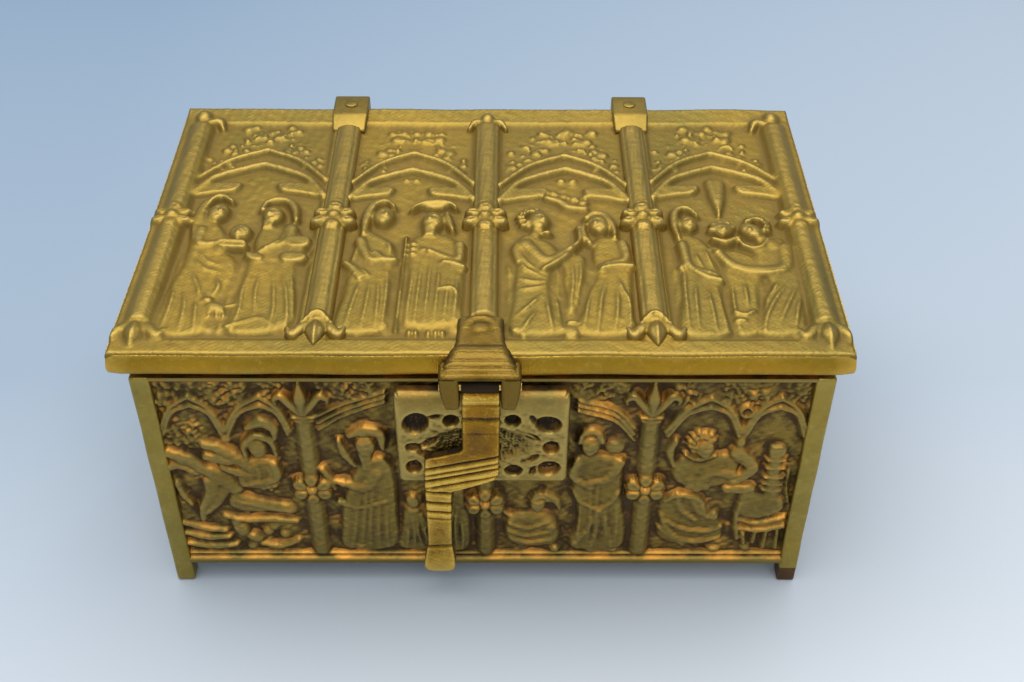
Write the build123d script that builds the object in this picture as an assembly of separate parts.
"""A small cast brass casket: relief panels between corner posts, a hinged lid and a hasp.

Units are millimetres. X runs to the right, Y to the back and Z up. The origin is on the
ground under the middle of the case. The hinge barrels reach as far back as the hasp mount
reaches forward, so the middle of the case is the middle of the whole object.
"""
import math
import os

from build123d import *

# Case
case_width = 117.0
case_depth = 71.0
case_top = 53.8
foot_height = 4.0
post = 3.4
panel_ground = 1.3
panel_thickness = 1.6
floor_thickness = 1.8
lining = 1.0
# Lid
lid_width = 120.0
lid_depth = 71.0
lid_top = 59.4
rim_height = 4.6
rim_swell = 0.7
seat_height = 1.0
lid_skin = 2.2
lid_ground = 0.7
# Straps and hinges
strap_width = 5.0
strap_height = 1.3
hinge_left_x = -27.6
hinge_right_x = 28.6
edge_x = 56.2
block_width = 6.8
block_height = 3.0
reach = 40.2
barrel_radius = 2.0
pin_radius = 0.8
running_clearance = 0.05
knuckle_gap = 0.15
leaf_height = 26.0
leaf_thickness = 1.2
# Lock plate and hasp
plate_width = 29.4
plate_low = 31.0
plate_high = 52.0
plate_thickness = 2.7
hasp_x = -0.4
hasp_width = 6.4
hasp_thickness = 1.5
hasp_pin_z = 55.0
hasp_barrel = 1.6
ear_gap = 0.15
ear_width = 3.4
ear_low = 52.0

half_w = case_width / 2
half_d = case_depth / 2
rim_low = lid_top - rim_height
hinge_y = reach - barrel_radius
hinge_z = case_top - 0.2
hasp_pin_y = -(reach - 0.2 - hasp_barrel)
ground_y = half_d - panel_ground
inner_y = ground_y - panel_thickness
ground_x = half_w - panel_ground
inner_x = ground_x - panel_thickness
panel_half_x = half_w - post
panel_half_y = half_d - post


def block(x0, x1, y0, y1, z0, z1):
    """A box between six planes."""
    size = (x1 - x0, y1 - y0, z1 - z0)
    middle = ((x0 + x1) / 2, (y0 + y1) / 2, (z0 + z1) / 2)
    return Pos(*middle) * Box(*size)


def rod_x(x0, x1, y, z, radius):
    """A round rod along X."""
    return Pos((x0 + x1) / 2, y, z) * Rot(0, 90, 0) * Cylinder(radius, x1 - x0)


# Relief, drawn flat: u to the right, v up, w out of the panel's ground.
def arch_face(half, rise):
    """The area under a pointed arch that stands on v = 0."""
    bulge = 0.16 * math.hypot(half, rise)
    normal_u = rise / math.hypot(half, rise) * bulge
    normal_v = half / math.hypot(half, rise) * bulge
    right_mid = (half / 2 + normal_u, rise / 2 + normal_v)
    left_mid = (-right_mid[0], right_mid[1])
    base = Line((-half, 0), (half, 0))
    right = ThreePointArc((half, 0), right_mid, (0, rise))
    left = ThreePointArc((0, rise), left_mid, (-half, 0))
    return make_face([base, right, left])


def arch(u, v, half, rise, band, height):
    """A pointed arch moulding with a smaller one stepped inside it."""
    outer = arch_face(half, rise) - arch_face(half - band, rise - 1.3 * band)
    inner = arch_face(half - band, rise - 1.3 * band) - arch_face(half - 2 * band, rise - 2.8 * band)
    return [
        Pos(u, v, 0) * extrude(outer, height),
        Pos(u, v, 0) * extrude(inner, 0.6 * height),
    ]


def pellet(u, v, radius, w=0.0):
    """A round bead half sunk in the ground."""
    return Pos(u, v, w) * Sphere(radius)


def leaf_cluster(u, v, size):
    """Five small leaves round a bead."""
    leaves = [pellet(u, v, 0.55 * size, 0.3)]
    for step in range(5):
        angle = math.radians(90 + 72 * step)
        leaves.append(pellet(u + size * math.cos(angle), v + size * math.sin(angle), 0.5 * size))
    return leaves


def figure(u, v, height, width, lean, depth):
    """A robed standing figure: a tapering robe with folds, shoulders, and a round head."""
    shoulder = 0.78 * height
    top_u = u + lean
    outline = Polyline(
        (u - width / 2, v),
        (u + width / 2, v),
        (top_u + 0.36 * width, v + shoulder),
        (top_u + 0.14 * width, v + 0.86 * height),
        (top_u - 0.14 * width, v + 0.86 * height),
        (top_u - 0.36 * width, v + shoulder),
        (u - width / 2, v),
    )
    robe = extrude(make_face(outline), depth, taper=18)
    pieces = [robe, pellet(top_u, v + 0.92 * height, 0.12 * height, 0.4 * depth)]
    for share in (-0.25, 0.0, 0.25):
        fold_u = u + share * width + 0.3 * lean
        fold = Pos(fold_u, v + 0.33 * height, 0.8 * depth) * Rot(90, 0, 0) * Cylinder(0.06 * width, 0.55 * height)
        pieces.append(fold)
    return pieces


def flower(u, v, size, w):
    """A six-petal rosette."""
    petals = [pellet(u, v, 0.45 * size, w + 0.2)]
    for step in range(6):
        angle = math.radians(60 * step)
        petals.append(pellet(u + 0.75 * size * math.cos(angle), v + 0.75 * size * math.sin(angle), 0.42 * size, w))
    return petals


def fleur(u, v, size, w, way=1):
    """A fleur-de-lis that points up or down: a tall middle petal, two side petals and a collar."""
    cone = Rot(-90 * way, 0, 0) * Cone(0.42 * size, 0.08 * size, 1.3 * size)
    return [
        Pos(u, v + 0.35 * size * way, w) * cone,
        pellet(u - 0.62 * size, v + 0.1 * size * way, 0.4 * size, w - 0.2),
        pellet(u + 0.62 * size, v + 0.1 * size * way, 0.4 * size, w - 0.2),
        Pos(u, v - 0.45 * size * way, w - 0.2) * Box(1.3 * size, 0.35 * size, 0.8 * size),
    ]


def column(u, v0, v1, width, height):
    """A flat column with bevelled sides."""
    profile = Polyline(
        (u - width / 2, 0),
        (u + width / 2, 0),
        (u + 0.22 * width, height),
        (u - 0.22 * width, height),
        (u - width / 2, 0),
    )
    return Pos(0, v1, 0) * Rot(90, 0, 0) * extrude(make_face(profile), v1 - v0)


def merged(base, extras):
    """One solid from a base and the relief that stands on it."""
    whole = base
    for extra in extras:
        whole = whole + extra
    return max(whole.solids(), key=lambda s: s.volume)


# Wall panels, with the relief clipped to the space between ground and border.
def wall_panel(half, plane, relief):
    """A cast wall panel: back plate, border strips and relief, placed on its wall."""
    plate = block(-half, half, foot_height, case_top, -panel_thickness, 0)
    strips = [
        block(-half, half, case_top - 1.2, case_top, 0, panel_ground),
        block(-half, half, foot_height, foot_height + 2.6, 0, panel_ground),
    ]
    room = block(-half, half, foot_height, case_top, -panel_thickness, panel_ground)
    solid = merged(plate, strips + relief) & room
    solid = max(solid.solids(), key=lambda s: s.volume)
    return plane * solid


front_plane = Plane(origin=(0, -ground_y, 0), x_dir=(1, 0, 0), z_dir=(0, -1, 0))
back_plane = Plane(origin=(0, ground_y, 0), x_dir=(-1, 0, 0), z_dir=(0, 1, 0))
left_plane = Plane(origin=(-ground_x, 0, 0), x_dir=(0, -1, 0), z_dir=(-1, 0, 0))
right_plane = Plane(origin=(ground_x, 0, 0), x_dir=(0, 1, 0), z_dir=(1, 0, 0))
ground_line = foot_height + 2.6


def wall_columns(positions, flower_v):
    """Columns with a rosette half way up and a fleur-de-lis on top."""
    pieces = []
    for u in positions:
        pieces.append(column(u, ground_line - 0.5, 46, 4.4, 0.9))
        pieces += flower(u, flower_v, 2.4, 0.6)
        pieces += fleur(u, 49, 3.0, 0.5)
    return pieces


def outer_bay(u, lean):
    """A bay with two small arches, a tall figure and a crouching one."""
    pieces = []
    for side in (-1, 1):
        pieces += arch(u + 5.9 * side, 39, 5.9, 10.5, 1.1, 1.0)
        pieces += leaf_cluster(u + 5.9 * side, 50.2, 1.0)
    pieces += leaf_cluster(u, 47.5, 1.2)
    pieces += figure(u - 4, ground_line, 31, 10, lean, 1.1)
    pieces += figure(u + 6, ground_line, 20, 9, -lean, 1.0)
    return pieces


def inner_bay(u, side):
    """A bay with one large arch and two robed figures."""
    pieces = arch(u, 37, 12, 13.5, 1.3, 1.0)
    pieces += leaf_cluster(u + 9 * side, 49.5, 1.2)
    pieces += figure(u + 5 * side, ground_line, 32, 10, -1.5 * side, 1.1)
    pieces += figure(u - 5 * side, ground_line, 22, 9, 1.0 * side, 1.0)
    return pieces


front_relief = wall_columns((-31.0, 28.7), 27.0) + wall_columns((0.0,), 23.7)
front_relief += outer_bay(-43.4, 1.5) + outer_bay(42.4, -1.5)
front_relief += inner_bay(-15.3, -1) + inner_bay(14.5, 1)
front_panel = wall_panel(panel_half_x, front_plane, front_relief)

back_relief = wall_columns((0.0,), 27.0)
back_relief += outer_bay(-43.0, 1.5) + outer_bay(43.0, -1.5)
back_relief += inner_bay(-14.0, -1) + inner_bay(14.0, 1)
back_panel = wall_panel(panel_half_x, back_plane, back_relief)

end_relief = wall_columns((0.0,), 27.0) + outer_bay(-17.5, 1.0) + outer_bay(17.5, -1.0)
left_end_panel = wall_panel(panel_half_y, left_plane, end_relief)
right_end_panel = wall_panel(panel_half_y, right_plane, end_relief)


# Corner posts: square bars with a rounded outer edge, the lower end standing out as a foot.
def corner_post(side_x, side_y):
    bar = block(half_w - post, half_w, half_d - post, half_d, 0, case_top)
    edge = bar.edges().filter_by(Axis.Z).sort_by(lambda e: e.center().X + e.center().Y)[-1]
    bar = fillet(edge, 0.6)
    if side_x < 0:
        bar = mirror(bar, Plane.YZ)
    if side_y < 0:
        bar = mirror(bar, Plane.XZ)
    return bar


# Bottom plate, let in between the panels.
bottom_plate = block(-inner_x, inner_x, -inner_y, inner_y, foot_height, foot_height + floor_thickness)
for side_x in (-1, 1):
    for side_y in (-1, 1):
        bottom_plate = bottom_plate - corner_post(side_x, side_y)
bottom_plate = bottom_plate.solid()

# Fabric lining of the inside, one sheet to each wall and one on the floor.
floor_top = foot_height + floor_thickness
lining_top = case_top - 1.0
lining_y = inner_y - 0.1
lining_x = inner_x - 0.1
side_low = floor_top + lining + 0.1
long_half = panel_half_x - 0.1
lining_floor = block(-lining_x + lining, lining_x - lining, -lining_y + lining, lining_y - lining,
                     floor_top, floor_top + lining)
lining_front = block(-long_half, long_half, -lining_y, -lining_y + lining, side_low, lining_top)
lining_back = block(-long_half, long_half, lining_y - lining, lining_y, side_low, lining_top)
short_half = lining_y - lining - 0.1
lining_left = block(-lining_x, -lining_x + lining, -short_half, short_half, side_low, lining_top)
lining_right = block(lining_x - lining, lining_x, -short_half, short_half, side_low, lining_top)

# Lid plate: a thin cast plate with a swelling rim and a seat that rests on the walls.
rim_out_w = lid_width + 2 * rim_swell
rim_out_d = lid_depth + 2 * rim_swell
rim_belly = rim_low + 1.4
band = Pos(0, 0, rim_low) * extrude(RectangleRounded(rim_out_w, rim_out_d, 1.2), rim_belly - rim_low)
top_part = loft([
    Pos(0, 0, rim_belly) * RectangleRounded(rim_out_w, rim_out_d, 1.2),
    Pos(0, 0, lid_top) * RectangleRounded(lid_width, lid_depth, 1.0),
])
band = chamfer(band.faces().sort_by(Axis.Z)[0].edges(), 0.5)
seat = block(-57.2, 57.2, -34.2, 34.2, case_top, rim_low)
hollow = block(-54.6, 54.6, -31.4, 31.4, case_top, lid_top - lid_skin)
lid_body = band + top_part + seat - hollow

# Bays of the lid, between the straps: a sunk ground with an arch, leaves and two figures.
bay_low = -31.3
bay_high = 29.0
bays = [(-53.2, -30.9), (-24.3, -3.3), (3.3, 25.3), (31.9, 53.2)]
for low, high in bays:
    lid_body = lid_body - block(low, high, bay_low, bay_high, lid_top - lid_ground, lid_top + 1)
lid_relief = []
leans = [(1.5, -1.5), (0.5, 0.0), (-0.5, -2.0), (0.5, -2.5)]
for (low, high), (lean_left, lean_right) in zip(bays, leans):
    middle = (low + high) / 2
    half = (high - low) / 2
    lid_relief += arch(middle, 8.0, half - 0.4, 14.5, 1.4, 1.6)
    lid_relief += leaf_cluster(middle, 25.5, 1.5)
    lid_relief += leaf_cluster(middle - 0.7 * half, 21.5, 1.5)
    lid_relief += leaf_cluster(middle + 0.7 * half, 21.5, 1.5)
    lid_relief += figure(middle - 0.47 * half, bay_low + 2.0, 34.5, 9.5, lean_left, 1.7)
    lid_relief += figure(middle + 0.47 * half, bay_low + 2.0, 34.0, 9.5, lean_right, 1.7)
lid_relief_plane = Plane(origin=(0, 0, lid_top - lid_ground))
placed_relief = [lid_relief_plane * piece for piece in lid_relief]
clear = block(-56, 56, -33, 33, lid_top - 1.5, lid_top + 2.2)
placed_relief = [piece & clear for piece in placed_relief]

# The two edge columns are cast with the lid, with a rosette and a fleur-de-lis each.
edge_plane = Plane(origin=(0, 0, lid_top - 0.2))
for side in (-1, 1):
    edge = [column(side * edge_x, -29.5, 30.5, strap_width, strap_height + 0.2)]
    edge += flower(side * edge_x, 1.5, 2.3, 1.0)
    edge += fleur(side * edge_x, -30.0, 2.8, 0.7, -1)
    edge += [pellet(side * edge_x, 31.5, 1.7, 0.6), pellet(side * (edge_x - 2.6), 30.5, 1.2, 0.4)]
    placed_relief += [edge_plane * piece for piece in edge]
lid_plate = merged(lid_body, placed_relief)
# Flat beds where the three applied straps and the hasp mount sit.
for bed_x in (hinge_left_x, 0.0, hinge_right_x):
    lid_plate = lid_plate - block(bed_x - 3.0, bed_x + 3.0, -36, 37, lid_top, lid_top + 4)
for bed_x in (hinge_left_x, hinge_right_x):
    lid_plate = lid_plate - block(bed_x - 3.7, bed_x + 3.7, 27.5, 38, lid_top, lid_top + 4)
lid_plate = lid_plate - block(hasp_x - 5.0, hasp_x + 5.0, -38, -26.5, lid_top, lid_top + 4)
lid_plate = max(lid_plate.solids(), key=lambda s: s.volume)

# Hinge straps: a column along the lid, a square block at the back and a knuckle below it.
strap_plane = Plane(origin=(0, 0, lid_top))
knuckle_half = block_width / 6


def hinge_strap(x):
    strap = strap_plane * column(x, -29.5, 28.5, strap_width, strap_height)
    extras = [strap_plane * piece for piece in flower(x, 1.5, 2.3, 0.9) + fleur(x, -30.0, 2.8, 0.5, -1)]
    lug_back = hinge_y + 1.0
    head = block(x - block_width / 2, x + block_width / 2, 28.0, lug_back, lid_top, lid_top + block_height)
    head = fillet(head.edges().filter_by(Axis.Z), 0.9)
    head = chamfer(head.faces().sort_by(Axis.Z)[-1].edges(), 0.5)
    rim_back = half_d + rim_swell
    wrap = block(x - block_width / 2, x + block_width / 2, rim_back, lug_back, hinge_z + 2.5, lid_top + 1)
    lug = block(x - knuckle_half, x + knuckle_half, rim_back, lug_back, hinge_z, lid_top)
    barrel = rod_x(x - knuckle_half, x + knuckle_half, hinge_y, hinge_z, barrel_radius)
    whole = merged(strap, extras + [head, wrap, lug, barrel])
    above = block(x - 6, x + 6, -40, rim_back, lid_top, lid_top + 6) + block(x - 6, x + 6, rim_back, 45, 40, 70)
    whole = whole & above
    bore = rod_x(x - 5, x + 5, hinge_y, hinge_z, pin_radius + running_clearance)
    rivet_seat = Pos(x, 32.6, lid_top + block_height - 0.4) * Cylinder(1.25, 0.8)
    whole = whole - bore - rivet_seat
    return max(whole.solids(), key=lambda s: s.volume)


hinge_strap_left = hinge_strap(hinge_left_x)
hinge_strap_right = hinge_strap(hinge_right_x)


def strap_rivet(x):
    """A flat round rivet head in the top of a hinge block."""
    head = Pos(x, 32.6, lid_top + block_height - 0.35) * Cylinder(1.2, 0.9)
    return chamfer(head.edges().sort_by(Axis.Z)[-1], 0.25)


hinge_strap_rivets = Compound([strap_rivet(hinge_left_x), strap_rivet(hinge_right_x)])

# Centre strap, from the back edge to the hasp mount.
centre_parts = [strap_plane * piece for piece in flower(0, 1.5, 2.5, 0.9)]
centre_parts += [strap_plane * pellet(0, 31.2, 1.8, 0.3), strap_plane * pellet(-2.4, 30.2, 1.2, 0.2)]
centre_parts += [strap_plane * pellet(2.4, 30.2, 1.2, 0.2)]
centre_strap = merged(strap_plane * column(0, -26.3, 30.5, strap_width, strap_height), centre_parts)
centre_strap = centre_strap & block(-5, 5, -26.3, 34, lid_top, lid_top + 5)
centre_strap = max(centre_strap.solids(), key=lambda s: s.volume)


# Lower hinge leaves: a plate on the back panel with two knuckles outside the strap's one.
def hinge_leaf(x):
    back = half_d + leaf_thickness
    leaf = block(x - block_width / 2, x + block_width / 2, half_d, back, hinge_z - leaf_height, hinge_z - 0.6)
    leaf = leaf + Pos(x, (half_d + back) / 2, hinge_z - leaf_height) * Rot(90, 0, 0) * Cylinder(block_width / 2,
                                                                                               leaf_thickness)
    for side in (-1, 1):
        x0, x1 = sorted((x + side * (knuckle_half + knuckle_gap), x + side * block_width / 2))
        leaf = leaf + rod_x(x0, x1, hinge_y, hinge_z, barrel_radius)
        leaf = leaf + block(x0, x1, half_d, hinge_y, hinge_z - barrel_radius, hinge_z - 0.6)
    knuckle_room = rod_x(x - knuckle_half - knuckle_gap, x + knuckle_half + knuckle_gap, hinge_y, hinge_z,
                         barrel_radius + 0.25)
    leaf = leaf - knuckle_room - rod_x(x - 5, x + 5, hinge_y, hinge_z, pin_radius)
    for rivet_z in (hinge_z - 9, hinge_z - 22):
        leaf = leaf - Pos(x, back, rivet_z) * Rot(90, 0, 0) * Cylinder(1.3, 0.8)
    return max(leaf.solids(), key=lambda s: s.volume)


hinge_leaf_left = hinge_leaf(hinge_left_x)
hinge_leaf_right = hinge_leaf(hinge_right_x)
leaf_rivets = []
for x in (hinge_left_x, hinge_right_x):
    for rivet_z in (hinge_z - 9, hinge_z - 22):
        head = Pos(x, half_d + leaf_thickness, rivet_z) * Rot(90, 0, 0) * Cylinder(1.25, 0.8)
        leaf_rivets.append(chamfer(head.edges().sort_by(Axis.Y)[-1], 0.2))
hinge_leaf_rivets = Compound(leaf_rivets)


def hinge_pin(x):
    """A plain pin with a small upset head at each end."""
    pin = rod_x(x - block_width / 2, x + block_width / 2, hinge_y, hinge_z, pin_radius)
    for side in (-1, 1):
        x0, x1 = sorted((x + side * block_width / 2, x + side * (block_width / 2 + 0.5)))
        pin = pin + rod_x(x0, x1, hinge_y, hinge_z, 1.3)
    return pin.solid()


# Lid lining, a sheet in the hollow under the lid.
lid_lining = block(-54.4, 54.4, -31.2, 31.2, lid_top - lid_skin - lining, lid_top - lid_skin)

# Lock plate: a shallow box with a sunk face of tracery between four round pits.
plate_mid = (plate_low + plate_high) / 2
plate_height = plate_high - plate_low
plate_plane = Plane(origin=(0, -half_d, plate_mid), x_dir=(1, 0, 0), z_dir=(0, -1, 0))
lock_body = extrude(RectangleRounded(plate_width, plate_height, 2.0), plate_thickness)
lock_body = chamfer(lock_body.faces().sort_by(Axis.Z)[-1].edges(), 1.0)
lock_body = lock_body - Pos(0, 0, plate_thickness - 0.9) * extrude(RectangleRounded(24, 15.6, 1.5), 2)
tracery = [Pos(0, 0, 1.7) * Cylinder(3.6, 0.9), Pos(0, 0, 2.0) * Cylinder(2.2, 1.2)]
for step in range(8):
    angle = 45 * step + 22.5
    rib = Rot(0, 0, angle) * Pos(5.8, 0, 2.0) * Box(8.5, 0.7, 0.9)
    tracery.append(rib)
for side_u in (-1, 1):
    for side_v in (-1, 1):
        ring = Cylinder(2.6, 0.9) - Cylinder(1.7, 0.9)
        tracery.append(Pos(8.9 * side_u, 4.8 * side_v, 2.05) * ring)
frame_room = Pos(0, 0, 1.5) * Box(24.6, 16.2, 3.0)
tracery = [piece & frame_room for piece in tracery]
lock_plate = plate_plane * merged(lock_body, tracery)

# Hasp mount: a pad on the lid, stepped mouldings over the front edge and two ears.
mount_half = hasp_width / 2 + ear_gap + ear_width
slot_half = hasp_width / 2 + ear_gap
lid_front = half_d + rim_swell
pad = block(hasp_x - 4.35, hasp_x + 4.35, -34.2, -26.6, lid_top, lid_top + 1.5)
steps = [(-36.2, -34.2, 5.0, 2.1), (-37.6, -36.2, 5.6, 1.6), (-38.9, -37.6, 6.1, 1.0), (-reach, -38.9, 6.6, 0.5)]
mount_parts = []
for y0, y1, half, rise in steps:
    low = lid_top if y1 > -lid_front else 57.9
    mount_parts.append(block(hasp_x - half, hasp_x + half, y0, y1, low, lid_top + rise))
for side in (-1, 1):
    x0, x1 = sorted((hasp_x + side * slot_half, hasp_x + side * mount_half))
    ear = block(x0, x1, -reach, -lid_front, ear_low, lid_top + 0.4)
    ear = chamfer(ear.edges().filter_by(Axis.X).group_by(Axis.Z)[0], 0.7)
    mount_parts.append(ear)
mount_parts.append(block(hasp_x - 5.0, hasp_x + 5.0, -37.0, -lid_front, 57.9, lid_top + 1.0))
hasp_mount = merged(pad, mount_parts)
hasp_mount = hasp_mount - block(-20, 20, -lid_front, 0, 40, lid_top)
hasp_mount = hasp_mount - rod_x(hasp_x - 9, hasp_x + 9, hasp_pin_y, hasp_pin_z, pin_radius)
hasp_mount = hasp_mount - Pos(hasp_x, -30.2, lid_top + 1.5) * Cylinder(1.3, 0.8)
hasp_mount = max(hasp_mount.solids(), key=lambda s: s.volume)

rivet_top = Pos(hasp_x, -30.2, lid_top + 1.6) * Cylinder(1.25, 1.0)
hasp_mount_rivet = chamfer(rivet_top.edges().sort_by(Axis.Z)[-1], 0.25)
hasp_pin = rod_x(hasp_x - mount_half, hasp_x + mount_half, hasp_pin_y, hasp_pin_z, pin_radius)

# Hasp: a flat bar that hangs from the pin, stepped to the left half way down, with a flared tip.
hasp_front = -(reach - 0.2)
hasp_back = hasp_front + hasp_thickness
x_left = hasp_x - hasp_width / 2
x_right = hasp_x + hasp_width / 2
outline = Polyline(
    (x_left, hasp_pin_z),
    (x_left, 40.9),
    (x_left - 6.5, 38.8),
    (x_left - 6.7, 34.0),
    (x_left - 6.8, 15.5),
    (x_left - 7.6, 9.4),
    (x_left - 6.6, 7.6),
    (x_left - 3.2, 7.4),
    (x_left - 2.0, 9.6),
    (x_left - 2.4, 15.5),
    (x_left - 2.0, 30.6),
    (x_right, 33.6),
    (x_right, hasp_pin_z),
    (x_left, hasp_pin_z),
)
hasp_plane = Plane(origin=(0, hasp_back, 0), x_dir=(1, 0, 0), z_dir=(0, -1, 0))
hasp = hasp_plane * extrude(make_face(outline), hasp_thickness)
hasp = hasp + rod_x(x_left, x_right, hasp_pin_y, hasp_pin_z, hasp_barrel)
hasp = hasp - rod_x(x_left - 5, x_right + 5, hasp_pin_y, hasp_pin_z, pin_radius + running_clearance)
for groove_z in (38.0, 36.2, 34.2):
    hasp = hasp - Pos(x_left - 1.8, hasp_front, groove_z) * Rot(0, -4, 0) * Box(9.4, 0.5, 0.5)
for groove_z in (29.6, 27.6, 25.6, 15.4):
    hasp = hasp - Pos(x_left - 4.5, hasp_front, groove_z) * Box(5.0, 0.5, 0.5)
hasp = max(hasp.solids(), key=lambda s: s.volume)

nodes = {
    "bottom_plate": bottom_plate,
    "front_panel": front_panel,
    "back_panel": back_panel,
    "left_end_panel": left_end_panel,
    "right_end_panel": right_end_panel,
    "corner_post_front_left": corner_post(-1, -1),
    "corner_post_front_right": corner_post(1, -1),
    "corner_post_back_left": corner_post(-1, 1),
    "corner_post_back_right": corner_post(1, 1),
    "lock_plate": lock_plate,
    "hinge_leaf_left": hinge_leaf_left,
    "hinge_leaf_right": hinge_leaf_right,
    "hinge_leaf_rivets": hinge_leaf_rivets,
    "hinge_pin_left": hinge_pin(hinge_left_x),
    "hinge_pin_right": hinge_pin(hinge_right_x),
    "lining_floor": lining_floor,
    "lining_front": lining_front,
    "lining_back": lining_back,
    "lining_left": lining_left,
    "lining_right": lining_right,
    "lid_plate": lid_plate,
    "hinge_strap_left": hinge_strap_left,
    "hinge_strap_right": hinge_strap_right,
    "hinge_strap_rivets": hinge_strap_rivets,
    "centre_strap": centre_strap,
    "lid_lining": lid_lining,
    "hasp_mount": hasp_mount,
    "hasp_mount_rivet": hasp_mount_rivet,
    "hasp_pin": hasp_pin,
    "hasp": hasp,
}
os.makedirs("parts", exist_ok=True)
for name, shape in nodes.items():
    export_step(shape, f"parts/{name}.step")
    box = shape.bounding_box()
    print(name, len(shape.solids()), [round(v, 2) for v in (*box.min, *box.max)])
